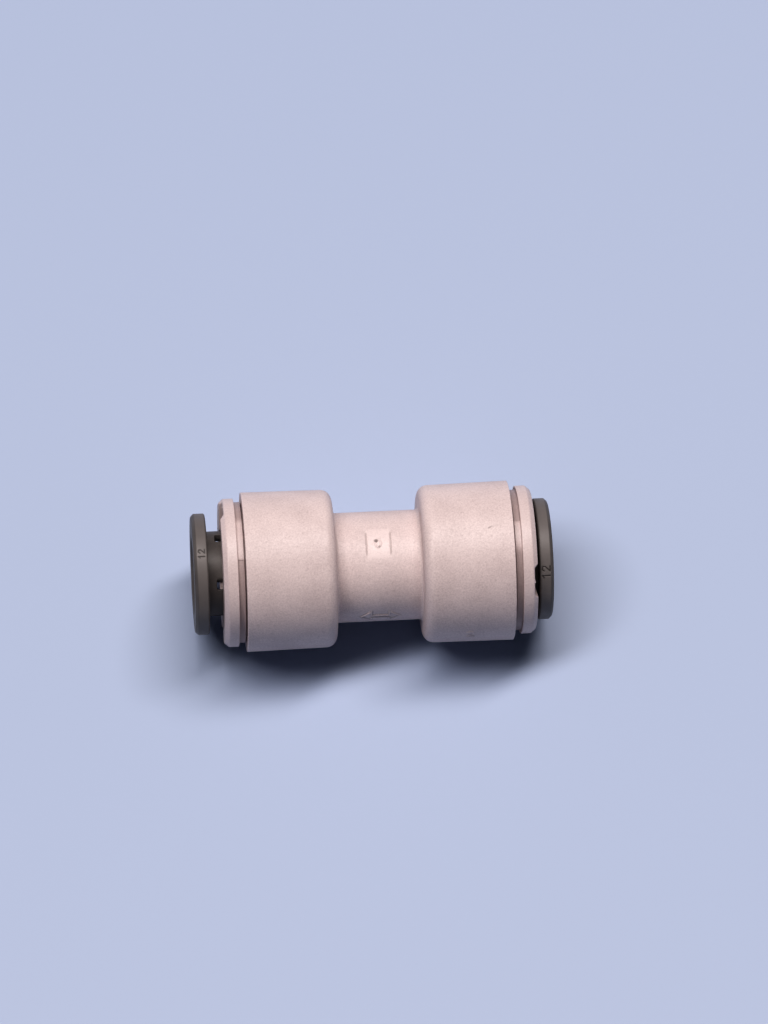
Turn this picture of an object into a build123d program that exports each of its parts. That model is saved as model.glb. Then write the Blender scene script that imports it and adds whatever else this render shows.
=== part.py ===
from build123d import *
import math
import os

# Straight push-fit coupling for plain plastic or copper tube, in millimetres.
# The tube axis is X, +Z is the side of the body that carries the gate mark,
# and the origin is the middle of the body, on the axis.
# Angles round the axis are in degrees from -Y towards +Z.

os.makedirs("parts", exist_ok=True)

# ---- the tube that the coupling joins
TUBE_OD = 12.0
TUBE_WALL_MIN = 1.25          # thinnest tube wall that still meets the stop squarely
TUBE_CLEARANCE = 0.1          # radial, tube to socket wall

# ---- body
BARREL_OD = 27.0              # at the open rims
BARREL_DRAFT = 0.65           # degrees, the barrels narrow towards the neck
BODY_LENGTH = 45.2            # rim to rim
NECK_LENGTH = 14.6            # shoulder to shoulder
NECK_OD = 18.6
SHOULDER_RADIUS = 1.8
NECK_ROOT_RADIUS = 0.6
STOP_THICKNESS = 3.0          # the wall in the middle that both tubes meet
SOCKET_DEPTH = 10.6           # tube guide bore, from the stop to the seal's seat
GATE_LENGTH = 1.6
GATE_WIDTH = 1.1
GATE_HEIGHT = 0.2
MARK_LENGTH = 6.6             # moulded flow mark, a plain double arrow
MARK_WIDTH = 3.0
MARK_HEIGHT = 0.15
MARK_LINE = 0.5
MARK_ROOT = 0.8               # how deep the raised marks start inside the neck
MARK_HEAD = 2.0               # length of an arrow head

# ---- seal, and the washer that keeps it in its seat
SEAL_SECTION = 2.6
SEAL_SQUEEZE = 0.15           # radial, how far the seal stands inside the tube's surface
SEAL_CLEARANCE = 0.05
WASHER_THICKNESS = 1.5
WASHER_CLEARANCE = 0.15       # radial, to the body outside and to the tube inside

# ---- end cap
SPIGOT_OD = 22.0              # the part that is pressed into the barrel
SPIGOT_WALL = 2.0
SPIGOT_FIT = 0.02             # radial, spigot to barrel
GROOVE_OD = 23.8
GROOVE_WIDTH = 1.3
FLANGE_OD = 25.1
FLANGE_THICKNESS = 2.5
FLANGE_CHAMFER_AXIAL = 0.8
FLANGE_CHAMFER_RADIAL = 0.7
LAND_LENGTH = 2.5             # cylinder that guides the collet, before the locking cone
CONE_LENGTH = 3.0
NOTCH_COUNT = 2               # across the flange's face, from its edge to the bore
NOTCH_ANGLE = 27.0            # the share of the rim that one notch takes, at the flange's face
NOTCH_DEPTH = 0.6

# ---- collet
SLEEVE_OD = 14.3
SLEEVE_CLEARANCE = 0.15       # radial, sleeve to cap
SLEEVE_BORE_CLEARANCE = 0.2   # radial, tube to sleeve
BUTTON_OD = 20.5              # the flange that is pressed to release the tube
BUTTON_THICKNESS = 2.4
BUTTON_CHAMFER = 0.5
BUTTON_EDGE_RADIUS = 0.35
MOUTH_CHAMFER = 0.6
FINGER_COUNT = 5
SLOT_WIDTH = 2.1
SLOT_START = 1.4              # from the flange to the end of the slot
SLOT_CORNER = 0.4
TIP_LENGTH = 1.6              # cylinder at the end of a finger, past its cone
CONE_GAP = 0.15               # finger's cone to the cap's cone, with the collet right out
COLLET_TRAVEL = 2.2
COLLET_MIN_GAP = 0.2          # flange to cap, with the collet right in
LEFT_COLLET_OUT = COLLET_TRAVEL
RIGHT_COLLET_OUT = 0.25       # how far each collet stands out from right in, at rest

# ---- grip teeth
TOOTH_WIDTH = 3.4
TOOTH_THICKNESS = 0.4
TOOTH_LENGTH = 1.9
TOOTH_LEAN = 40.0             # from the radius, towards the middle of the body
TOOTH_BITE = 0.13             # radial, how far the tooth's edge stands inside the tube's surface
TOOTH_SETBACK = 0.4           # from the end of the finger's cone to the tooth's edge
TOOTH_FIT = 0.02

# ---- where the slots and the notches point
LEFT_SLOT_ANGLE = 49.3
RIGHT_SLOT_ANGLE = 20.0
LEFT_NOTCH_ANGLE = 129.0
RIGHT_NOTCH_ANGLE = 46.0
GATE_ANGLE = 90.0
MARK_ANGLE = 0.0

# ---- places along the axis and radii, worked out for the right-hand end
tube_radius = TUBE_OD / 2
socket_radius = tube_radius + TUBE_CLEARANCE
passage_radius = tube_radius - TUBE_WALL_MIN
barrel_radius = BARREL_OD / 2
neck_radius = NECK_OD / 2
rim_x = BODY_LENGTH / 2
shoulder_x = NECK_LENGTH / 2
barrel_shrink = (rim_x - shoulder_x) * math.tan(math.radians(BARREL_DRAFT))
stop_x = STOP_THICKNESS / 2
seal_seat_x = stop_x + SOCKET_DEPTH
seal_inner_radius = tube_radius - SEAL_SQUEEZE
seal_seat_radius = seal_inner_radius + SEAL_SECTION + SEAL_CLEARANCE
washer_x = seal_seat_x + SEAL_SECTION + 2 * SEAL_CLEARANCE
spigot_x = washer_x + WASHER_THICKNESS
spigot_radius = SPIGOT_OD / 2
cap_seat_radius = spigot_radius + SPIGOT_FIT
chamber_radius = spigot_radius - SPIGOT_WALL
groove_radius = GROOVE_OD / 2
flange_radius = FLANGE_OD / 2
flange_x = rim_x + GROOVE_WIDTH
face_x = flange_x + FLANGE_THICKNESS
sleeve_radius = SLEEVE_OD / 2
sleeve_bore_radius = tube_radius + SLEEVE_BORE_CLEARANCE
land_radius = sleeve_radius + SLEEVE_CLEARANCE
land_x = face_x - LAND_LENGTH
cone_slope = (chamber_radius - land_radius) / CONE_LENGTH
collet_in_x = face_x + COLLET_MIN_GAP
collet_out_x = collet_in_x + COLLET_TRAVEL
button_radius = BUTTON_OD / 2
tip_radius = chamber_radius - SLEEVE_CLEARANCE - CONE_GAP
cone_start = collet_out_x - land_x + CONE_GAP
cone_end = cone_start + (tip_radius - sleeve_radius) / cone_slope
finger_length = cone_end + TIP_LENGTH
tooth_edge_radius = tube_radius - TOOTH_BITE
tooth_place = cone_end + TOOTH_SETBACK
slot_length = finger_length - SLOT_START + SLOT_WIDTH
slot_middle = SLOT_START + slot_length / 2
finger_pitch = 360.0 / FINGER_COUNT


def facing(angle, x, height):
    """A plane that faces outwards at this angle round the axis, this high above it; its own X is the tube's."""
    turn = math.radians(angle)
    out = Vector(0, -math.cos(turn), math.sin(turn))
    return Plane(origin=Vector(x, 0, 0) + out * height, x_dir=(1, 0, 0), z_dir=out)


def near(sketch, side, corners):
    """The sketch's corners that are nearest to these (x, radius) places."""
    return [sketch.vertices().sort_by_distance((side * x, radius))[0] for x, radius in corners]


def write(node, name):
    """Names the finished piece and writes its file."""
    node.part.label = name
    export_step(node.part, f"parts/{name}.step")


def make_body():
    """Both barrels and the neck in one moulding, turned from one outline, with the moulded marks on the neck."""
    half = [(shoulder_x, neck_radius), (shoulder_x, barrel_radius - barrel_shrink),
            (rim_x, barrel_radius), (rim_x, cap_seat_radius), (washer_x, cap_seat_radius),
            (washer_x, seal_seat_radius), (seal_seat_x, seal_seat_radius), (seal_seat_x, socket_radius),
            (stop_x, socket_radius), (stop_x, passage_radius)]
    other_half = [(-x, radius) for x, radius in reversed(half)]
    with BuildPart() as body:
        with BuildSketch() as section:
            with BuildLine():
                Polyline(*half, *other_half, close=True)
            make_face()
            for side in (1, -1):
                fillet(near(section, side, [(shoulder_x, barrel_radius)]), SHOULDER_RADIUS)
                fillet(near(section, side, [(shoulder_x, neck_radius)]), NECK_ROOT_RADIUS)
        revolve(axis=Axis.X)
        with BuildSketch(facing(GATE_ANGLE, 0, neck_radius - MARK_ROOT)):
            Ellipse(GATE_LENGTH / 2, GATE_WIDTH / 2)
        extrude(amount=MARK_ROOT + GATE_HEIGHT)
        with BuildSketch(facing(MARK_ANGLE, 0, neck_radius - MARK_ROOT)):
            Rectangle(MARK_LENGTH - MARK_HEAD, MARK_LINE)
            for side in (1, -1):
                tip = side * MARK_LENGTH / 2
                head = tip - side * MARK_HEAD
                with BuildLine():
                    Polyline((tip, 0), (head, MARK_WIDTH / 2), (head, -MARK_WIDTH / 2), close=True)
                make_face()
        extrude(amount=MARK_ROOT + MARK_HEIGHT)
    write(body, "body")


def make_cap(name, side, notch_angle):
    """A ring with a spigot for the barrel, a locking cone for the collet's fingers, and a notched flange."""
    corners = [(spigot_x, spigot_radius), (rim_x, spigot_radius), (rim_x, groove_radius),
               (flange_x, groove_radius), (flange_x, flange_radius),
               (face_x - FLANGE_CHAMFER_AXIAL, flange_radius), (face_x, flange_radius - FLANGE_CHAMFER_RADIAL),
               (face_x, land_radius), (land_x, land_radius), (land_x - CONE_LENGTH, chamber_radius),
               (spigot_x, chamber_radius)]
    with BuildPart() as cap:
        with BuildSketch():
            with BuildLine():
                Polyline(*[(side * x, radius) for x, radius in corners], close=True)
            make_face()
        revolve(axis=Axis.X)
        for number in range(NOTCH_COUNT):
            middle = notch_angle + number * 360 / NOTCH_COUNT
            mouth_width = 2 * flange_radius * math.sin(math.radians(NOTCH_ANGLE / 2))
            with BuildSketch(facing(middle, side * face_x, 0)):
                Trapezoid(mouth_width + 2 * NOTCH_DEPTH, 2 * NOTCH_DEPTH, 45, rotation=side * 90)
            extrude(amount=flange_radius + NOTCH_DEPTH, mode=Mode.SUBTRACT)
    write(cap, name)


def tooth_shape(side, angle, collet_x, spare):
    """A flat stainless plate that leans towards the middle of the body, grown all round by spare."""
    lean = math.radians(TOOTH_LEAN)
    turn = math.radians(angle)
    out = Vector(0, -math.cos(turn), math.sin(turn))
    along = out * math.cos(lean) + Vector(side * math.sin(lean), 0, 0)
    edge_height = tooth_edge_radius + TOOTH_THICKNESS / 2 * math.sin(lean)
    edge = Vector(collet_x - side * tooth_place, 0, 0) + out * edge_height
    across = Vector(1, 0, 0).cross(out)
    plate = Plane(origin=edge + along * (TOOTH_LENGTH / 2), x_dir=across, z_dir=along)
    size = (TOOTH_WIDTH + 2 * spare, TOOTH_THICKNESS + 2 * spare, TOOTH_LENGTH + 2 * spare)
    return plate.location * Box(*size, mode=Mode.PRIVATE)


def make_collet(name, side, stands_out, slot_angle):
    """A sleeve with a release flange, slotted into sprung fingers with cones and teeth at their ends."""
    flange_face = collet_in_x + stands_out
    profile = [(BUTTON_THICKNESS, sleeve_bore_radius + MOUTH_CHAMFER),
               (BUTTON_THICKNESS, button_radius - BUTTON_CHAMFER),
               (BUTTON_THICKNESS - BUTTON_CHAMFER, button_radius),
               (0, button_radius), (0, sleeve_radius), (-cone_start, sleeve_radius),
               (-cone_end, tip_radius), (-finger_length, tip_radius),
               (-finger_length, sleeve_bore_radius),
               (BUTTON_THICKNESS - MOUTH_CHAMFER, sleeve_bore_radius)]
    with BuildPart() as collet:
        with BuildSketch() as section:
            with BuildLine():
                Polyline(*[(side * (flange_face + x), radius) for x, radius in profile], close=True)
            make_face()
            fillet(near(section, side, [(flange_face, button_radius)]), BUTTON_EDGE_RADIUS)
        revolve(axis=Axis.X)
        for number in range(FINGER_COUNT):
            angle = slot_angle + number * finger_pitch
            with BuildSketch(facing(angle, side * (flange_face - slot_middle), 0)):
                RectangleRounded(slot_length, SLOT_WIDTH, SLOT_CORNER)
            extrude(amount=tip_radius + SLOT_WIDTH, mode=Mode.SUBTRACT)
        for number in range(FINGER_COUNT):
            angle = slot_angle + (number + 0.5) * finger_pitch
            add(tooth_shape(side, angle, side * flange_face, TOOTH_FIT), mode=Mode.SUBTRACT)
    write(collet, name)


def make_teeth(end, side, stands_out, slot_angle):
    """One tooth for each finger, halfway between two slots."""
    for number in range(FINGER_COUNT):
        angle = slot_angle + (number + 0.5) * finger_pitch
        with BuildPart() as tooth:
            add(tooth_shape(side, angle, side * (collet_in_x + stands_out), 0))
        write(tooth, f"{end}_grip_tooth_{number + 1}")


def make_seal(end, side):
    """A rubber ring of round section in the body's seat."""
    with BuildPart() as seal:
        with BuildSketch():
            with Locations((side * (seal_seat_x + washer_x) / 2, seal_inner_radius + SEAL_SECTION / 2)):
                Circle(SEAL_SECTION / 2)
        revolve(axis=Axis.X)
    write(seal, f"{end}_o_ring")


def make_washer(end, side):
    """A flat ring between the body's step and the end of the cap, which keeps the seal in."""
    with BuildPart() as washer:
        with BuildSketch(Plane.YZ.offset(side * washer_x)):
            Circle(cap_seat_radius - WASHER_CLEARANCE)
            Circle(tube_radius + WASHER_CLEARANCE, mode=Mode.SUBTRACT)
        extrude(amount=side * WASHER_THICKNESS)
    write(washer, f"{end}_backing_ring")


make_body()
ends = [("left", -1, LEFT_COLLET_OUT, LEFT_SLOT_ANGLE, LEFT_NOTCH_ANGLE),
        ("right", 1, RIGHT_COLLET_OUT, RIGHT_SLOT_ANGLE, RIGHT_NOTCH_ANGLE)]
for end, side, stands_out, slot_angle, notch_angle in ends:
    make_cap(f"{end}_end_cap", side, notch_angle)
    make_collet(f"{end}_collet", side, stands_out, slot_angle)
    make_teeth(end, side, stands_out, slot_angle)
    make_seal(end, side)
    make_washer(end, side)
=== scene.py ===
import math

import bpy
import numpy as np
from mathutils import Matrix, Vector


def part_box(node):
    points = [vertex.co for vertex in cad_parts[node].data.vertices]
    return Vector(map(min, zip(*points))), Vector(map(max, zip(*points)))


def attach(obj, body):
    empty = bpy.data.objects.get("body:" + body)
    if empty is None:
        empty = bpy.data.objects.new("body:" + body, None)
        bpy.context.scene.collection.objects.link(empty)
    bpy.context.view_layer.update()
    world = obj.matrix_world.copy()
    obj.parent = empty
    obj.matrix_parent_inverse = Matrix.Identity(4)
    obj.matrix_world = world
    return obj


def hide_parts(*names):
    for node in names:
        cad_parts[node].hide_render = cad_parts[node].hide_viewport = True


# A straight push-fit tube coupling, lying on its side. Lengths are in metres, the tube's axis is X, and
# angles round it are in degrees from -Y, the front, towards +Z, the top.
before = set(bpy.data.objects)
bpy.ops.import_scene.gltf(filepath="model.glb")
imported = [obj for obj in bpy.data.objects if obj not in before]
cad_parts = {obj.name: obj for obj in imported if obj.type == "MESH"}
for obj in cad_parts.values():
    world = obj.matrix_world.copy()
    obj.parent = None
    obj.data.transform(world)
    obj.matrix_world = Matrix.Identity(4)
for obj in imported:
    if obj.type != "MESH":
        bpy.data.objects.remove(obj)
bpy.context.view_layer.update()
MM = 0.001

# ---------------------------------------------------------------------------------------------- body
# One injection moulding in light warm-grey acetal: two barrels with a neck between them. The mould was
# spark eroded, so the skin is finely grained. The gate on top of the neck has been broken off by hand.
BARREL_DRAFT = 0.65
SHOULDER_X, SHOULDER_RADIUS = 7.3 * MM, 1.8 * MM
NECK_RADIUS, NECK_ROOT_RADIUS = 9.3 * MM, 0.6 * MM
CAP_SEAT_X, CAP_SEAT_RADIUS = 14.9 * MM, 11.02 * MM
SEAL_SEAT_X, SEAL_SEAT_RADIUS = 12.1 * MM, 8.5 * MM
SOCKET_RADIUS, STOP_X, PASSAGE_RADIUS = 6.1 * MM, 1.5 * MM, 4.75 * MM
GATE_ANGLE, MARK_ANGLE = 89.0, 0.0
PAD_LENGTH, PAD_WIDTH = 4.05 * MM, 5.0 * MM
MARK_LENGTH, MARK_WIDTH = 6.6 * MM, 3.0 * MM
CAVITY_X, SCRATCH_X, SCRATCH_ANGLE = 15.0 * MM, 19.3 * MM, 90.5
RIM_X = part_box("body")[1].x
BARREL_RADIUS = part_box("body")[1].y


def turned_outline(corners):
    """A closed outline from (x, radius, rounding, pitch) corners. Each corner becomes an arc of its own
    rounding, and the run after it is divided at about its pitch, with a short step beside each arc."""
    points = np.array([corner[:2] for corner in corners])
    before = points - np.roll(points, 1, axis=0)
    after = np.roll(points, -1, axis=0) - points
    run = np.linalg.norm(after, axis=1)
    before /= np.linalg.norm(before, axis=1)[:, None]
    after /= run[:, None]
    turn = np.arctan2(before[:, 0] * after[:, 1] - before[:, 1] * after[:, 0], (before * after).sum(1))
    reach = np.array([corner[2] for corner in corners]) * np.tan(np.abs(turn) / 2)
    pieces = []
    for number, (x, radius, rounding, pitch) in enumerate(corners):
        ahead = (number + 1) % len(corners)
        if rounding > 0:
            steps = max(3, int(abs(turn[number]) / 0.2))
            side = np.sign(turn[number])
            normal = side * np.array([-before[number, 1], before[number, 0]])
            centre = points[number] - before[number] * reach[number] + normal * rounding
            swing = np.linspace(0, turn[number], steps + 1)[:, None]
            spoke = -normal * rounding
            across = np.array([-spoke[1], spoke[0]])
            pieces.append(centre + spoke * np.cos(swing) + across * np.sin(swing))
        else:
            pieces.append(points[number][None])
        start, stop = reach[number], run[number] - reach[ahead]
        span = stop - start
        edge = min(0.12 * MM, span / 4)
        inner = max(1, int(round((span - 2 * edge) / pitch)))
        along = start + edge + (span - 2 * edge) * np.linspace(0, 1, inner + 1)
        pieces.append(points[number] + after[number] * along[:, None])
    return np.concatenate(pieces)


def fine_angles(coarse, *sectors):
    """Angles once round: coarse steps, and inside each (middle, half width, step) sector its own step."""
    angles = np.arange(0, 360, coarse)
    for middle, half, step in sectors:
        inside = np.abs((angles - middle + 180) % 360 - 180) < half + coarse / 2
        fill = middle + np.arange(-half, half + step / 2, step)
        angles = np.concatenate([angles[~inside], fill % 360])
    return np.unique(np.round(angles, 4))


def round_axis(x, radius, angle):
    """The place at x along the axis, this far from it, at this angle in degrees."""
    turn = np.radians(angle)
    return np.stack(np.broadcast_arrays(x, -radius * np.cos(turn), radius * np.sin(turn)), axis=-1)


def mesh_piece(name, body, points, faces, **marks):
    """A smooth mesh of points and four-cornered faces that rides on a body. Faces are turned to look
    outwards, which the sign of the volume inside them tells, and each mark is a value at each point."""
    corners = points[faces]
    across = np.cross(corners[:, 1] + corners[:, 3], corners[:, 2])
    volume = np.einsum("ij,ij->i", corners[:, 0], across).sum()
    if volume < 0:
        faces = faces[:, ::-1]
    mesh = bpy.data.meshes.new(name)
    mesh.from_pydata(points.tolist(), [], faces.tolist())
    mesh.polygons.foreach_set("use_smooth", np.ones(len(mesh.polygons), bool))
    for mark, values in marks.items():
        layer = mesh.attributes.new(mark, "FLOAT", "POINT")
        layer.data.foreach_set("value", np.asarray(values, np.float32).ravel())
    mesh.validate()
    piece = bpy.data.objects.new(name, mesh)
    bpy.context.scene.collection.objects.link(piece)
    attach(piece, body)
    return piece


def ring_faces(rows, columns):
    """The faces of a grid of points that closes both along its rows and round its columns."""
    grid = np.arange(rows * columns).reshape(rows, columns)
    down, right = np.roll(grid, -1, axis=0), np.roll(grid, -1, axis=1)
    both = np.roll(down, -1, axis=1)
    return np.stack([grid, down, both, right], axis=-1).reshape(-1, 4)


def smooth_step(value, low, high):
    """0 below low, 1 above high, and an even s-shaped rise between them."""
    share = np.clip((value - low) / (high - low), 0, 1)
    return share * share * (3 - 2 * share)


def stroke_height(u, v, strokes, width, softness=0.05 * MM):
    """1 on straight strokes of this width and 0 off them; u and v are places on the unrolled surface."""
    nearest = np.full(np.shape(u), np.inf)
    for (u0, v0), (u1, v1) in strokes:
        du, dv = u1 - u0, v1 - v0
        share = np.clip(((u - u0) * du + (v - v0) * dv) / (du * du + dv * dv), 0, 1)
        nearest = np.minimum(nearest, np.hypot(u - u0 - share * du, v - v0 - share * dv))
    return 1 - smooth_step(nearest, width / 2 - softness, width / 2 + softness)


def rim_half(side):
    """Half of the body's outline, from its shoulder round the rim and in to the stop."""
    narrow = (RIM_X - SHOULDER_X) * math.tan(math.radians(BARREL_DRAFT))
    half = [(SHOULDER_X, NECK_RADIUS, NECK_ROOT_RADIUS, 1 * MM),
            (SHOULDER_X, BARREL_RADIUS - narrow, SHOULDER_RADIUS, 1 * MM),
            (CAVITY_X - 1 * MM, BARREL_RADIUS - narrow * 0.56, 0, 0.1 * MM),
            (CAVITY_X + 1 * MM, BARREL_RADIUS - narrow * 0.43, 0, 0.5 * MM),
            (SCRATCH_X - 1.3 * MM, BARREL_RADIUS - narrow * 0.3, 0, 0.11 * MM),
            (SCRATCH_X + 1.3 * MM, BARREL_RADIUS - narrow * 0.13, 0, 0.5 * MM),
            (RIM_X, BARREL_RADIUS, 0.12 * MM, 0.5 * MM),
            (RIM_X, CAP_SEAT_RADIUS, 0.15 * MM, 3 * MM), (CAP_SEAT_X, CAP_SEAT_RADIUS, 0.2 * MM, 1 * MM),
            (CAP_SEAT_X, SEAL_SEAT_RADIUS, 0.2 * MM, 1 * MM),
            (SEAL_SEAT_X, SEAL_SEAT_RADIUS, 0.2 * MM, 1 * MM),
            (SEAL_SEAT_X, SOCKET_RADIUS, 0.3 * MM, 2 * MM), (STOP_X, SOCKET_RADIUS, 0.2 * MM, 1 * MM),
            (STOP_X, PASSAGE_RADIUS, 0.3 * MM, 1 * MM)]
    return [(side * x, radius, rounding, pitch) for x, radius, rounding, pitch in half]


def reversed_runs(corners):
    """The same corners the other way round, with each run keeping its own pitch."""
    pitches = [corner[3] for corner in corners]
    turned = corners[::-1]
    shifted = pitches[::-1][1:] + pitches[:1]
    return [(x, radius, rounding, pitch) for (x, radius, rounding, _), pitch in zip(turned, shifted)]


neck_run = [(-3.6 * MM, NECK_RADIUS, 0, 0.09 * MM), (3.6 * MM, NECK_RADIUS, 0, 1 * MM)]
right_half, left_half = rim_half(1), reversed_runs(rim_half(-1))
left_half[-1] = left_half[-1][:3] + (1 * MM,)
outline = turned_outline(right_half + left_half + neck_run)
angles = fine_angles(2.5, (MARK_ANGLE, 8.0, 0.5), (GATE_ANGLE, 15.0, 0.6))
x, radius = outline[:, 0][:, None], outline[:, 1][:, None]
outer = (radius > NECK_RADIUS - 0.01 * MM) & (np.abs(x) < RIM_X - 0.3 * MM)
on_neck = outer & (np.abs(x) < 4.5 * MM)
gate_v = radius * np.radians((angles - GATE_ANGLE + 180) % 360 - 180)[None]
mark_v = radius * np.radians((angles - MARK_ANGLE + 180) % 360 - 180)[None]

# The mould's oblong insert is polished, and it leaves two fine lines along its sides.
pad = smooth_step(PAD_WIDTH / 2 - np.abs(gate_v), 0, 0.7 * MM)
# Painted sheen: the polished patch is drawn lighter in colour than the grained skin around it.
polished = on_neck * smooth_step(PAD_WIDTH / 2 + 0.35 * MM - np.abs(gate_v), 0, 0.4 * MM)
polished = polished * smooth_step(PAD_LENGTH / 2 + 0.1 * MM - np.abs(x), 0, 0.2 * MM)
line = 1 - smooth_step(np.abs(np.abs(x) - PAD_LENGTH / 2), 0.06 * MM, 0.2 * MM)
gate_out = np.hypot((x + 0.1 * MM) / 0.62, gate_v / 0.85)
vestige = smooth_step(-gate_out, -1.15 * MM, -0.8 * MM)
vestige = vestige - 1.3 * smooth_step(-gate_out, -0.75 * MM, -0.45 * MM)
torn = smooth_step(-np.hypot(x + 0.42 * MM, gate_v - 0.5 * MM), -0.42 * MM, -0.2 * MM)
torn = torn + 0.7 * smooth_step(-np.hypot(x - 0.1 * MM, gate_v + 0.62 * MM), -0.26 * MM, -0.12 * MM)
lift = on_neck * (0.13 * MM * vestige - 0.12 * MM * torn - 0.1 * MM * line * pad)

# A plain double arrow, raised in outline on the front of the neck: water may flow either way. Its outline
# goes from the right tip round the heads and the shaft, and a band of painted shade darkens its foot.
tip, wing, barb, shaft = MARK_LENGTH / 2, MARK_WIDTH / 2, MARK_LENGTH / 2 - 1.8 * MM, 0.4 * MM
arrow = [(tip, 0), (barb, wing), (barb, shaft), (-barb, shaft), (-barb, wing),
         (-tip, 0), (-barb, -wing), (-barb, -shaft), (barb, -shaft), (barb, -wing)]
arrow = list(zip(arrow, arrow[1:] + arrow[:1]))
wide_x = np.broadcast_to(x, mark_v.shape)
ridge = stroke_height(wide_x, mark_v, arrow, 0.26 * MM)
dust = stroke_height(wide_x, mark_v, arrow, 0.6 * MM, 0.12 * MM) - ridge
lift = lift + on_neck * 0.14 * MM * ridge

# A small raised cavity number near the middle of the right barrel, and a knock on top of the same barrel.
two = [((-0.55, 0.5), (-0.15, 0.9)), ((-0.15, 0.9), (0.45, 0.7)), ((0.45, 0.7), (0.4, 0.1)),
       ((0.4, 0.1), (-0.6, -0.9)), ((-0.6, -0.9), (0.65, -0.9))]
two = [tuple((u * MM + CAVITY_X, v * MM) for u, v in ends) for ends in two]
on_barrel = outer & (radius > BARREL_RADIUS - 1 * MM) & (x > 0)
lift = lift + on_barrel * 0.13 * MM * stroke_height(wide_x, mark_v, two, 0.26 * MM)
scratch_v = radius * np.radians((angles - SCRATCH_ANGLE + 180) % 360 - 180)[None]
knock = [((SCRATCH_X - 1 * MM, -0.35 * MM), (SCRATCH_X - 0.4 * MM, -0.05 * MM)),
         ((SCRATCH_X - 0.4 * MM, -0.05 * MM), (SCRATCH_X + 1 * MM, 0.15 * MM))]
fading = 1 - 0.75 * smooth_step(wide_x - SCRATCH_X, -0.7 * MM, 0.1 * MM)
scratch = on_barrel * fading * stroke_height(wide_x, scratch_v, knock, 0.2 * MM, 0.09 * MM)
lift = lift - 0.05 * MM * scratch
body_points = round_axis(x, radius + lift, angles[None])
# Painted shade: the torn pits of the gate, the insert's two lines, the band at the arrow's foot and the knock
# are darkened in colour as if shaded.
shade_in = on_neck * np.clip(torn + 0.45 * line * pad + 0.3 * dust, 0, 1) + 0.7 * scratch
body = mesh_piece("body_moulding", "housing", body_points.reshape(-1, 3),
                  ring_faces(*body_points.shape[:2]), dirt=shade_in, polished=polished)
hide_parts("body")


def srgb(red, green, blue):
    """A paint-chip colour, 0 to 255 each, as the linear colour that a shader takes."""
    share = np.array([red, green, blue]) / 255
    return (*np.where(share <= 0.04045, share / 12.92, ((share + 0.055) / 1.055) ** 2.4), 1.0)


class Wire:
    """A node's output that can be added, multiplied and so on: each step puts down one Math node."""

    def __init__(self, finish, socket):
        self.finish, self.socket = finish, socket

    def math(self, operation, first, second):
        return self.finish.node("ShaderNodeMath", {"operation": operation}, {0: first, 1: second})

    def __add__(self, other):
        return self.math("ADD", self, other)

    def __sub__(self, other):
        return self.math("SUBTRACT", self, other)

    def __rsub__(self, other):
        return self.math("SUBTRACT", other, self)

    def __mul__(self, other):
        return self.math("MULTIPLY", self, other)

    __radd__, __rmul__ = __add__, __mul__


class Finish:
    """One material: a Principled shader, and the nodes that feed it."""

    def __init__(self, name, **constants):
        self.material = bpy.data.materials.new(name)
        self.material.use_nodes = True
        self.tree = self.material.node_tree
        self.shader = self.tree.nodes["Principled BSDF"]
        for socket, value in constants.items():
            self.shader.inputs[socket.replace("_", " ")].default_value = value
        self.place = self.node("ShaderNodeTexCoord", {}, {}, "Object")

    def node(self, kind, settings, sockets, output=0):
        """Puts down a node with its settings, fills its sockets with values or wires, and gives an output."""
        made = self.tree.nodes.new(kind)
        for name, value in settings.items():
            if name == "stops":
                for number, (position, colour) in enumerate(value):
                    stops = made.color_ramp.elements
                    stop = stops[number] if number < len(stops) else stops.new(position)
                    stop.position, stop.color = position, colour
            else:
                setattr(made, name, value)
        for name, value in sockets.items():
            if isinstance(value, Wire):
                self.tree.links.new(value.socket, made.inputs[name])
            else:
                made.inputs[name].default_value = value
        return Wire(self, made.outputs[output])

    def noise(self, size, detail=3.0, rough=0.5):
        """Even random mottling whose spots are about this size."""
        return self.node("ShaderNodeTexNoise", {}, {"Vector": self.place, "Scale": 1 / size,
                                                    "Detail": detail, "Roughness": rough})

    def mark(self, name):
        """A value that the mesh carries at each point."""
        return self.node("ShaderNodeAttribute", {"attribute_name": name}, {}, "Fac")

    def blend(self, share, first, second):
        """A colour between two colours."""
        return self.node("ShaderNodeMix", {"data_type": "RGBA"}, {0: share, 6: first, 7: second}, 2)

    def ramp(self, value, low, high):
        """0 where value is below low, 1 above high."""
        return self.node("ShaderNodeMapRange", {}, {"Value": value, "From Min": low, "From Max": high})

    def feed(self, socket, wire):
        self.tree.links.new(wire.socket, self.shader.inputs[socket])

    def bump(self, height, depth, strength=1.0):
        self.feed("Normal", self.node("ShaderNodeBump", {}, {"Height": height, "Distance": depth,
                                                             "Strength": strength}))


def acetal(name, light, dark, soil, grain, roughness):
    """Moulded acetal: a cloudy pale colour, darkened with painted shade where the mesh says so, a
    spark-eroded grain, and a soft waxy sheen."""
    finish = Finish(name, IOR=1.48, Specular_IOR_Level=0.45)
    cloud, fine = finish.noise(6 * MM, 4.0), finish.noise(0.27 * MM, 2.0, 0.6)
    speck = finish.ramp(finish.noise(0.55 * MM, 1.0), 0.36, 0.3)
    share = finish.ramp(cloud, 0.35, 0.7) * 0.3 + finish.ramp(fine, 0.3, 0.75) * 0.6 + speck * 0.15
    # The polished patch is painted lighter here: a painted sheen.
    share = share - finish.mark("polished") * 0.28
    clean = finish.blend(share, light, dark)
    # Painted shade: where the mesh's shade mark is high, the colour blends towards a dark colour.
    finish.feed("Base Color", finish.blend(finish.mark("dirt") * 0.7, clean, soil))
    finish.feed("Roughness", roughness + (cloud - 0.5) * 0.1 + (fine - 0.5) * 0.16)
    finish.bump(fine + finish.noise(0.11 * MM, 1.0) * 0.5, grain)
    return finish


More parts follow.
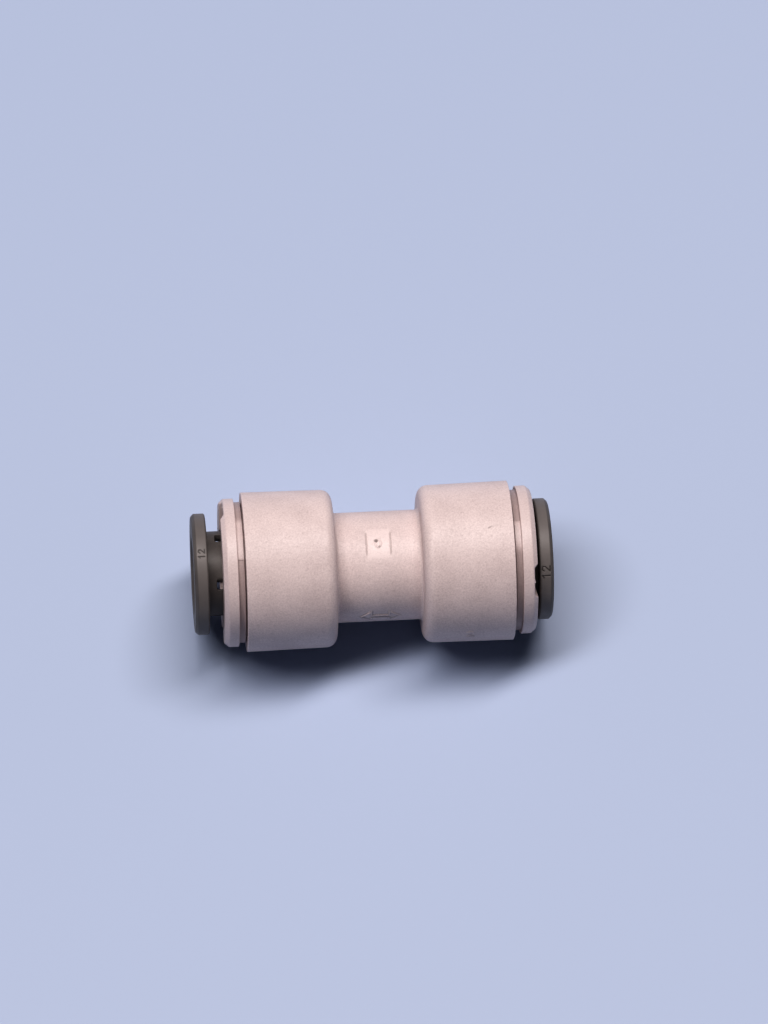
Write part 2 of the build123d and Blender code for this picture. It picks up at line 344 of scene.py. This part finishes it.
body_finish = acetal("body_acetal", srgb(233, 217, 214), srgb(197, 181, 179), srgb(84, 72, 68),
                     0.028 * MM, 0.44)
body.data.materials.append(body_finish.material)

# ------------------------------------------------------------------------------------------- end caps
# Two light grey acetal rings pressed and welded into the barrels. Each shows a narrow groove beside the
# barrel's rim and a bevelled flange, with two opposite notches across the flange's face for the press tool.
GROOVE_RADIUS, GROOVE_WIDTH = 11.9 * MM, 1.3 * MM
WELD_DEPTH, WELD_WIDTH = 0.8 * MM, 0.22 * MM
CAP_BEVEL_X, CAP_BEVEL_RADIUS = 0.8 * MM, 0.7 * MM
LAND_RADIUS, LAND_LENGTH = 7.3 * MM, 2.5 * MM
SPIGOT_RADIUS, CHAMBER_RADIUS, CONE_LENGTH = 11.0 * MM, 9.0 * MM, 3.0 * MM
NOTCH_HALF_ANGLE, NOTCH_DEPTH = 13.5, 0.6 * MM
NUB_HEIGHT, NUB_ANGLE = 0.16 * MM, 1.1
TAB_HEIGHT, TAB_FADE = 0.12 * MM, 9.0


def away(angles, middle):
    """How far each angle is from the middle one, in degrees, -180 to 180."""
    return (angles - middle + 180) % 360 - 180


def end_cap(name, node, side, notch_angle, tab_faint, tab_sharp):
    """The outline turned round the axis. A notch has parallel walls that slope at 45 degrees down to its
    depth, and a small nub in its middle. Its columns of points run along those walls: at each radius they
    stand where that radius crosses them, and the other columns share what is left of the quarter turn. In
    the tab's sector the groove's floor stands higher, with one sharp end."""
    low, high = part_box(node)
    face_x, spigot_x = max(-low.x, high.x), min(abs(low.x), abs(high.x))
    flange_radius, flange_x = high.y, RIM_X + GROOVE_WIDTH
    corners = [(spigot_x, SPIGOT_RADIUS, 0.2, 2), (RIM_X - 0.4 * MM, SPIGOT_RADIUS, 0, 0.3),
               (RIM_X - 0.4 * MM, GROOVE_RADIUS - WELD_DEPTH, 0, 0.5),
               (RIM_X + WELD_WIDTH, GROOVE_RADIUS - WELD_DEPTH, 0, 0.5),
               (RIM_X + WELD_WIDTH, GROOVE_RADIUS, 0.06, 0.3),
               (flange_x, GROOVE_RADIUS, 0.1, 0.5), (flange_x, flange_radius, 0.15, 0.5),
               (face_x - CAP_BEVEL_X, flange_radius, 0.4, 0.2),
               (face_x, flange_radius - CAP_BEVEL_RADIUS, 0.3, 0.5), (face_x, LAND_RADIUS, 0.15, 0.3),
               (face_x - 0.9 * MM, LAND_RADIUS, 0, 1), (face_x - LAND_LENGTH, LAND_RADIUS, 0.1, 1),
               (face_x - LAND_LENGTH - CONE_LENGTH, CHAMBER_RADIUS, 0.1, 1),
               (spigot_x, CHAMBER_RADIUS, 0.2, 1)]
    corners = [(x, radius, rounding * MM, pitch * MM) for x, radius, rounding, pitch in corners]
    outline = turned_outline(corners)
    half_width = flange_radius * math.sin(math.radians(NOTCH_HALF_ANGLE))
    foot = math.degrees(math.asin((half_width - NOTCH_DEPTH) / flange_radius))
    edges = [notch_angle + 180 * turn + sign * column for turn in range(2) for sign in (1, -1)
             for column in (foot - 0.3, foot, NOTCH_HALF_ANGLE, NOTCH_HALF_ANGLE + 0.3)]
    edges += [tab_sharp + step for step in (-0.5, -0.25, 0, 0.25, 0.5)]
    nubs = [(notch_angle + 180 * turn, 2.0, 0.4) for turn in range(2)]
    angles = np.unique(np.concatenate([fine_angles(1.5, *nubs), np.array(edges) % 360]).round(3))[None]
    x, radius = outline[:, 0][:, None], outline[:, 1][:, None]
    aside = (angles - notch_angle + 90) % 180 - 90
    off = np.abs(aside)
    across = flange_radius * np.sin(np.radians(off))
    wall = np.degrees(np.arcsin(half_width / radius))
    inside = np.degrees(np.arcsin(np.minimum(across, half_width) / radius))
    beyond = np.maximum(off - NOTCH_HALF_ANGLE, 0) * (90 - wall) / (90 - NOTCH_HALF_ANGLE)
    angles = angles + np.sign(aside) * (inside + beyond) - aside
    nub = 1 - smooth_step(off, 0.3 * NUB_ANGLE, NUB_ANGLE)
    cut = np.clip(half_width - across, 0, NOTCH_DEPTH) - nub * NUB_HEIGHT
    notched = np.minimum(x, face_x - np.maximum(cut, 0))
    onward = np.sign(tab_sharp - tab_faint)
    inside_tab = smooth_step(onward * away(angles, tab_faint), 0, TAB_FADE)
    inside_tab = inside_tab * smooth_step(-onward * away(angles, tab_sharp), 0, 0.4)
    on_floor = (x > RIM_X + 0.05 * MM) & (x < flange_x - 0.02 * MM)
    on_floor = on_floor & (np.abs(radius - GROOVE_RADIUS) < 0.1 * MM)
    points = round_axis(side * notched, radius + TAB_HEIGHT * inside_tab * on_floor, angles)
    in_groove = (x > RIM_X - 0.2 * MM) & (x < flange_x + 0.05 * MM) & (radius < GROOVE_RADIUS + 0.35 * MM)
    # Painted shade: the groove is darkened in colour, less on the tab's raised floor so that it shows
    # lighter, and the notches' floors are darkened too.
    dust = in_groove * (0.8 - 0.5 * inside_tab) + 0.4 * (notched < x) * (radius > LAND_RADIUS)
    cap = mesh_piece(name, "housing", points.reshape(-1, 3), ring_faces(*points.shape[:2]), dirt=dust)
    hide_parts(node)
    return cap


cap_finish = acetal("cap_acetal", srgb(228, 212, 209), srgb(201, 185, 183), srgb(128, 110, 108),
                    0.014 * MM, 0.4)
caps = [end_cap("left_cap_ring", "left_end_cap", -1, 129.0, 116.0, 74.0),
        end_cap("right_cap_ring", "right_end_cap", 1, 46.0, 68.0, 98.0)]
for cap in caps:
    cap.data.materials.append(cap_finish.material)

# -------------------------------------------------------------------------------------------- collets
# Two dark grey acetal sleeves. Five slots part each one into sprung fingers, and the flange outside is
# pressed to let the tube go. The tube's size is moulded on the flange's rim. They slide in the caps.
SLEEVE_RADIUS, SLEEVE_BORE = 7.15 * MM, 6.2 * MM
BUTTON_THICKNESS, BUTTON_BEVEL, MOUTH_BEVEL = 2.4 * MM, 0.5 * MM, 0.6 * MM
FINGER_COUNT, SLOT_WIDTH, SLOT_START, SLOT_CORNER = 5, 2.1 * MM, 1.4 * MM, 0.4 * MM
TIP_RADIUS, TIP_LENGTH = 8.7 * MM, 1.6 * MM
CONE_SLOPE = (CHAMBER_RADIUS - LAND_RADIUS) / CONE_LENGTH
SIZE_DIGITS = [[((0.0, -0.5), (0.0, 0.5)), ((0.0, 0.5), (-0.22, 0.25))],
               [((-0.3, 0.25), (-0.1, 0.5)), ((-0.1, 0.5), (0.25, 0.42)), ((0.25, 0.42), (0.25, 0.1)),
                ((0.25, 0.1), (-0.32, -0.5)), ((-0.32, -0.5), (0.34, -0.5))]]
DIGIT_PITCH, DIGIT_LINE, DIGIT_INSET = 0.9 * MM, 0.16 * MM, 1.05 * MM


def collet(name, node, body, side, slot_angle, digits_angle, digit_size):
    """A closed outline turned round the axis in five sectors. Beside a slot, a sector's edge stands back
    by the slot's half width, which follows a quarter circle at the slot's corner; where it is zero the
    sectors join, and where it isn't a wall joins the outside to the bore."""
    low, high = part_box(node)
    face_x, tip_x = max(-low.x, high.x), min(abs(low.x), abs(high.x))
    button_x, button_radius = face_x - BUTTON_THICKNESS, high.y
    finger_length = button_x - tip_x
    cone_end = finger_length - TIP_LENGTH
    cone_start = cone_end - (TIP_RADIUS - SLEEVE_RADIUS) / CONE_SLOPE
    swing = np.linspace(0, np.pi / 2, 7)
    half_slot = SLOT_WIDTH / 2
    depth = np.concatenate([[SLOT_START - 0.02 * MM], SLOT_START + SLOT_CORNER * (1 - np.cos(swing)),
                            np.linspace(SLOT_START + SLOT_CORNER, cone_start, 7)[1:],
                            np.linspace(cone_start, cone_end, 5)[1:],
                            np.linspace(cone_end, finger_length, 5)[1:]])
    corner_width = half_slot - SLOT_CORNER * (1 - np.sin(swing))
    half_width = np.concatenate([[0], corner_width, np.full(14, half_slot)])
    outside = SLEEVE_RADIUS + CONE_SLOPE * np.clip(depth - cone_start, 0, cone_end - cone_start)
    corners = [(depth[0], SLEEVE_RADIUS, 0, 0.4), (0, SLEEVE_RADIUS, 0.12, 0.6),
               (0, button_radius, 0.35, 0.1),
               (-0.38 * MM, button_radius, 0, 0.075), (-1.76 * MM, button_radius, 0, 0.2),
               (BUTTON_BEVEL - BUTTON_THICKNESS, button_radius, 0.3, 0.2),
               (-BUTTON_THICKNESS, button_radius - BUTTON_BEVEL, 0.3, 0.8),
               (-BUTTON_THICKNESS, SLEEVE_BORE + MOUTH_BEVEL, 0.2, 0.3),
               (MOUTH_BEVEL - BUTTON_THICKNESS, SLEEVE_BORE, 0.2, 0.6), (depth[0], SLEEVE_BORE, 0, 1)]
    flange = turned_outline([(d, radius, rounding * MM, pitch * MM)
                             for d, radius, rounding, pitch in corners])
    last = np.flatnonzero(np.isclose(flange[:, 0], depth[0]) & np.isclose(flange[:, 1], SLEEVE_BORE))[0]
    flange = flange[1:last]
    row_depth = np.concatenate([depth[::-1], flange[:, 0], depth])
    row_radius = np.concatenate([outside[::-1], flange[:, 1], np.full(len(depth), SLEEVE_BORE)])
    row_half = np.concatenate([half_width[::-1], np.zeros(len(flange)), half_width])
    pitch = 360 / FINGER_COUNT
    across = np.concatenate([np.linspace(-1, -0.25, 12), np.linspace(-0.25, 0.25, 52)[1:-1],
                             np.linspace(0.25, 1, 12)])
    clear = np.degrees(np.arcsin(row_half / row_radius))
    middle = slot_angle + pitch * (np.arange(FINGER_COUNT) + 0.5)
    angle = middle[None, :, None] + across[None, None, :] * (pitch / 2 - clear)[:, None, None]
    d, radius = row_depth[:, None, None], row_radius[:, None, None]
    v = button_radius * np.radians(away(angle, digits_angle))
    rim = (radius > button_radius - 0.01 * MM)
    ink = np.zeros(angle.shape)
    for number, strokes in enumerate(SIZE_DIGITS):
        start = (number - 0.5) * DIGIT_PITCH * digit_size
        placed = [tuple((side * u * digit_size * MM - DIGIT_INSET, w * digit_size * MM + start)
                        for w, u in ends) for ends in strokes]
        drawn = stroke_height(np.broadcast_to(d, angle.shape), v, placed, DIGIT_LINE * digit_size, 0.04 * MM)
        ink = np.maximum(ink, drawn)
    ink = ink * rim
    points = round_axis(side * (button_x - d), radius - 0.07 * MM * ink, angle)
    ids = np.arange(angle.size).reshape(angle.shape)
    joined = row_half < 1e-9
    ids[joined, :, -1] = np.roll(ids[joined, :, 0], -1, axis=1)
    down = np.roll(ids, -1, axis=0)
    skin = np.stack([ids[:, :, :-1], down[:, :, :-1], down[:, :, 1:], ids[:, :, 1:]], axis=-1)
    skin = skin.reshape(-1, 4)
    count = len(depth)
    outer_rows, inner_rows = ids[count - 1::-1], ids[-count:]
    walls = []
    for column, order in ((0, 1), (-1, -1)):
        a, b = outer_rows[:-1, :, column], outer_rows[1:, :, column]
        c, e = inner_rows[1:, :, column], inner_rows[:-1, :, column]
        walls.append(np.stack([a, b, c, e], axis=-1).reshape(-1, 4)[:, ::order])
    faces = np.concatenate([skin, *walls])
    used, faces = np.unique(faces, return_inverse=True)
    piece = mesh_piece(name, body, points.reshape(-1, 3)[used], faces.reshape(-1, 4), ink=ink.ravel()[used],
                       handled=np.broadcast_to(rim, angle.shape).ravel()[used])
    soften = piece.modifiers.new("edges", "BEVEL")
    soften.width, soften.segments, soften.angle_limit = 0.1 * MM, 2, math.radians(50)
    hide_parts(node)
    return piece


collet_finish = Finish("collet_acetal", IOR=1.48, Specular_IOR_Level=0.4)
cloud, fine = collet_finish.noise(4 * MM), collet_finish.noise(0.22 * MM, 2.0)
drawn = collet_finish.blend(collet_finish.ramp(cloud, 0.3, 0.7), srgb(110, 105, 102), srgb(95, 91, 89))
# Painted light: the flange's rim is drawn lighter all round, standing in for fill light.
worn = collet_finish.blend(collet_finish.mark("handled") * 0.4, drawn, srgb(138, 132, 130))
# Painted shade: the sunk digit strokes are darkened in colour.
marked = collet_finish.blend(collet_finish.mark("ink") * 0.8, worn, srgb(52, 48, 46))
collet_finish.feed("Base Color", marked)
collet_finish.feed("Roughness", 0.46 + (cloud - 0.5) * 0.12 + (fine - 0.5) * 0.12)
collet_finish.bump(fine, 0.01 * MM)
collets = [collet("left_collet_sleeve", "left_collet", "left_release", -1, 49.3, 84.0, 1.05),
           collet("right_collet_sleeve", "right_collet", "right_release", 1, 20.0, 51.5, 1.35)]
for piece in collets:
    piece.data.materials.append(collet_finish.material)

# -------------------------------------------------------------------------------------------- o-rings
# Two black nitrile rings of round section, one in each barrel's seat. They were pressed in a two-part
# mould, which leaves a thin flash line inside and outside, and they carry a film of silicone grease.
SECTION_RADIUS, FLASH_HEIGHT = 1.3 * MM, 0.05 * MM


def o_ring(name, node):
    """A torus: a circle turned round the axis, with a low ridge where it crosses its own middle plane."""
    low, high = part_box(node)
    around = np.linspace(0, 2 * np.pi, 64, endpoint=False)[:, None]
    angles = np.arange(0, 360, 3.0)[None]
    ridge = FLASH_HEIGHT * (1 - smooth_step(np.abs(np.sin(around)), 0.02, 0.12))
    section = SECTION_RADIUS + ridge - FLASH_HEIGHT
    x = (low.x + high.x) / 2 + section * np.sin(around)
    points = round_axis(x, high.y - SECTION_RADIUS - section * np.cos(around), angles)
    ring = mesh_piece(name, "housing", points.reshape(-1, 3), ring_faces(*points.shape[:2]))
    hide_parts(node)
    return ring


seal_finish = Finish("seal_rubber", Base_Color=srgb(27, 26, 26), IOR=1.52, Coat_Roughness=0.12)
smear = seal_finish.noise(1.5 * MM, 2.0)
seal_finish.feed("Roughness", 0.5 + (smear - 0.5) * 0.3)
seal_finish.feed("Coat Weight", seal_finish.ramp(smear, 0.42, 0.6) * 0.6)
seal_finish.bump(seal_finish.noise(0.12 * MM), 0.006 * MM)
for ring in (o_ring("left_seal_ring", "left_o_ring"), o_ring("right_seal_ring", "right_o_ring")):
    ring.data.materials.append(seal_finish.material)

# -------------------------------------------------------------------------------------- backing rings
# A flat ring of unfilled nylon between each seal and the end of the cap. It keeps the seal in its seat
# when the tube is pulled out. It lies loose there, and its edges are slightly rounded.
WASHER_BORE = 6.15 * MM


def backing_ring(name, node):
    """A rectangle with rounded corners turned round the axis, dished a little on its faces."""
    low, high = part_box(node)
    corners = [(low.x, WASHER_BORE, 0.3, 0.5), (high.x, WASHER_BORE, 0.3, 0.5),
               (high.x, high.y, 0.15, 0.6), (low.x, high.y, 0.15, 0.6)]
    outline = turned_outline([(x, radius, rounding * MM, pitch * MM)
                              for x, radius, rounding, pitch in corners])
    middle, mean = (low.x + high.x) / 2, (WASHER_BORE + high.y) / 2
    hollow = 0.05 * MM * np.clip(1 - ((outline[:, 1] - mean) / (mean - WASHER_BORE - 0.4 * MM)) ** 2, 0, 1)
    x = outline[:, 0] - np.sign(outline[:, 0] - middle) * hollow
    points = round_axis(x[:, None], outline[:, 1][:, None], np.arange(0, 360, 3.0)[None])
    ring = mesh_piece(name, "housing", points.reshape(-1, 3), ring_faces(*points.shape[:2]))
    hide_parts(node)
    return ring


washer_finish = Finish("washer_plastic", IOR=1.53, Specular_IOR_Level=0.45)
milky = washer_finish.noise(2.5 * MM)
nylon = washer_finish.blend(washer_finish.ramp(milky, 0.3, 0.7), srgb(205, 200, 190), srgb(188, 182, 172))
washer_finish.feed("Base Color", nylon)
washer_finish.feed("Roughness", 0.38 + (milky - 0.5) * 0.2)
washer_finish.bump(washer_finish.noise(0.3 * MM), 0.006 * MM)
for ring in (backing_ring("left_washer", "left_backing_ring"),
             backing_ring("right_washer", "right_backing_ring")):
    ring.data.materials.append(washer_finish.material)

# ----------------------------------------------------------------------------------------- grip teeth
# Five stamped stainless blades in each collet, one moulded into the end of every finger. Each leans
# towards the middle of the coupling, so a pull on the tube drives its sheared edge into the tube.
TOOTH_WIDTH, TOOTH_THICKNESS, TOOTH_LENGTH, TOOTH_LEAN = 3.4 * MM, 0.4 * MM, 1.9 * MM, 40.0
TOOTH_PLACE, TOOTH_EDGE_RADIUS = 8.185 * MM, 5.998 * MM


def grip_tooth(name, node, body, side, button_x, angle):
    """A flat blade: the same eight-cornered section at steps across its width, which narrows towards the
    biting edge and draws back in the middle of that edge, as the tube's curve does."""
    across = np.linspace(-1, 1, 15)[:, None]
    half, burr = TOOTH_THICKNESS / 2, 0.05 * MM
    ground = 0.25 * MM
    along = np.array([0, 0, ground, TOOTH_LENGTH - burr, TOOTH_LENGTH, TOOTH_LENGTH,
                      TOOTH_LENGTH - burr, ground])
    thick = np.array([0.35 * half, -0.35 * half, -half, -half, burr - half, half - burr, half, half])
    edge = np.clip(1 - along / (0.6 * MM), 0, 1)
    along = along + edge * (0.16 * MM * (1 - across ** 2))
    width = across * TOOTH_WIDTH / 2 * (1 - 0.04 * edge)
    thick = np.broadcast_to(thick, along.shape)
    lean, turn = math.radians(TOOTH_LEAN), math.radians(angle)
    outward = np.array([0, -math.cos(turn), math.sin(turn)])
    forward = np.array([1.0, 0, 0])
    blade = outward * math.cos(lean) + side * forward * math.sin(lean)
    sideways = np.cross(forward, outward)
    normal = np.cross(sideways, blade)
    start = forward * side * (button_x - TOOTH_PLACE) + outward * TOOTH_EDGE_RADIUS
    points = start + along[..., None] * blade + width[..., None] * sideways + thick[..., None] * normal
    grid = np.arange(across.size * 8).reshape(-1, 8)
    turned = np.roll(grid, -1, axis=1)
    skin = np.stack([grid[:-1], grid[1:], turned[1:], turned[:-1]], axis=-1).reshape(-1, 4)
    first, last = grid[0], grid[-1]
    orders = [[0, 1, 2, 7], [7, 2, 3, 6], [6, 3, 4, 5]]
    ends = [[row[corner] for corner in order[::step]]
            for row, step in ((first, 1), (last, -1)) for order in orders]
    blade_piece = mesh_piece(name, body, points.reshape(-1, 3), np.concatenate([skin, np.array(ends)]))
    soften = blade_piece.modifiers.new("edges", "BEVEL")
    soften.width, soften.segments, soften.angle_limit = 0.02 * MM, 2, math.radians(30)
    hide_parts(node)
    return blade_piece


steel_finish = Finish("tooth_steel", Base_Color=srgb(203, 201, 197), Metallic=1.0)
rolled = steel_finish.noise(0.4 * MM, 3.0)
steel_finish.feed("Roughness", 0.24 + (rolled - 0.5) * 0.25)
steel_finish.bump(steel_finish.noise(0.09 * MM, 2.0), 0.003 * MM)
for end, side, slot_angle in (("left", -1, 49.3), ("right", 1, 20.0)):
    low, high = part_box(f"{end}_collet")
    inner_face = max(-low.x, high.x) - BUTTON_THICKNESS
    for number in range(FINGER_COUNT):
        blade = grip_tooth(f"{end}_tooth_blade_{number + 1}", f"{end}_grip_tooth_{number + 1}",
                           f"{end}_release", side, inner_face,
                           slot_angle + (number + 0.5) * 360 / FINGER_COUNT)
        blade.data.materials.append(steel_finish.material)

# --------------------------------------------------------------------------------------------- studio
# A plain pale floor that the barrels' rims rest on, a big soft light overhead and a little behind, and a
# camera that looks down from the front.
floor_mesh = bpy.data.meshes.new("floor")
floor_mesh.from_pydata([(-15, -15, -BARREL_RADIUS), (15, -15, -BARREL_RADIUS), (15, 15, -BARREL_RADIUS),
                        (-15, 15, -BARREL_RADIUS)], [], [(0, 1, 2, 3)])
floor = bpy.data.objects.new("floor", floor_mesh)
bpy.context.scene.collection.objects.link(floor)
floor_finish = Finish("floor_paper", Base_Color=srgb(172, 185, 210), Roughness=0.5)
floor_mesh.materials.append(floor_finish.material)


def soft_light(name, place, width, height, power, colour):
    """A flat lamp at a place, facing the coupling, with its sizes in metres and its power in watts. A
    lamp shines along its own -Z, and its height lies along its Y."""
    lamp = bpy.data.lights.new(name, "AREA")
    lamp.shape, lamp.size, lamp.size_y, lamp.energy, lamp.color = "RECTANGLE", width, height, power, colour
    holder = bpy.data.objects.new(name, lamp)
    holder.location = place
    holder.rotation_euler = (-Vector(place)).to_track_quat("-Z", "Y").to_euler()
    bpy.context.scene.collection.objects.link(holder)


soft_light("overhead", (-0.5, 1.2, 6.2), 9.0, 1.4, 420.0, (1.0, 0.94, 0.925))
soft_light("front_fill", (-2.0, -7.0, 3.5), 6.0, 6.0, 2.5, (0.75, 0.85, 1.0))
world = bpy.data.worlds.new("studio")
world.use_nodes = True
world.node_tree.nodes["Background"].inputs["Color"].default_value = (0.75, 0.85, 1.0, 1.0)
world.node_tree.nodes["Background"].inputs["Strength"].default_value = 0.04
bpy.context.scene.world = world
bpy.context.scene.view_settings.view_transform = "Standard"
bpy.context.scene.view_settings.look = "High Contrast"

AZIMUTH, ELEVATION, ROLL, DISTANCE = math.radians(-8.0), math.radians(64.0), math.radians(4.6), 1.108
LENS, AIM_RIGHT, AIM_UP = 230.0, 1.25 * MM, 9.17 * MM
back = np.array([math.sin(AZIMUTH) * math.cos(ELEVATION), -math.cos(AZIMUTH) * math.cos(ELEVATION),
                 math.sin(ELEVATION)])
level = np.array([math.cos(AZIMUTH), math.sin(AZIMUTH), 0.0])
upright = np.cross(back, level)
right = level * math.cos(ROLL) + upright * math.sin(ROLL)
up = np.cross(back, right)
aim = right * AIM_RIGHT + up * AIM_UP
camera_data = bpy.data.cameras.new("camera")
camera_data.lens, camera_data.clip_start, camera_data.clip_end = LENS, 0.05, 20.0
camera = bpy.data.objects.new("camera", camera_data)
pose = np.eye(4)
pose[:3, 0], pose[:3, 1], pose[:3, 2], pose[:3, 3] = right, up, back, aim + back * DISTANCE
camera.matrix_world = Matrix(pose.tolist())
bpy.context.scene.collection.objects.link(camera)
bpy.context.scene.camera = camera
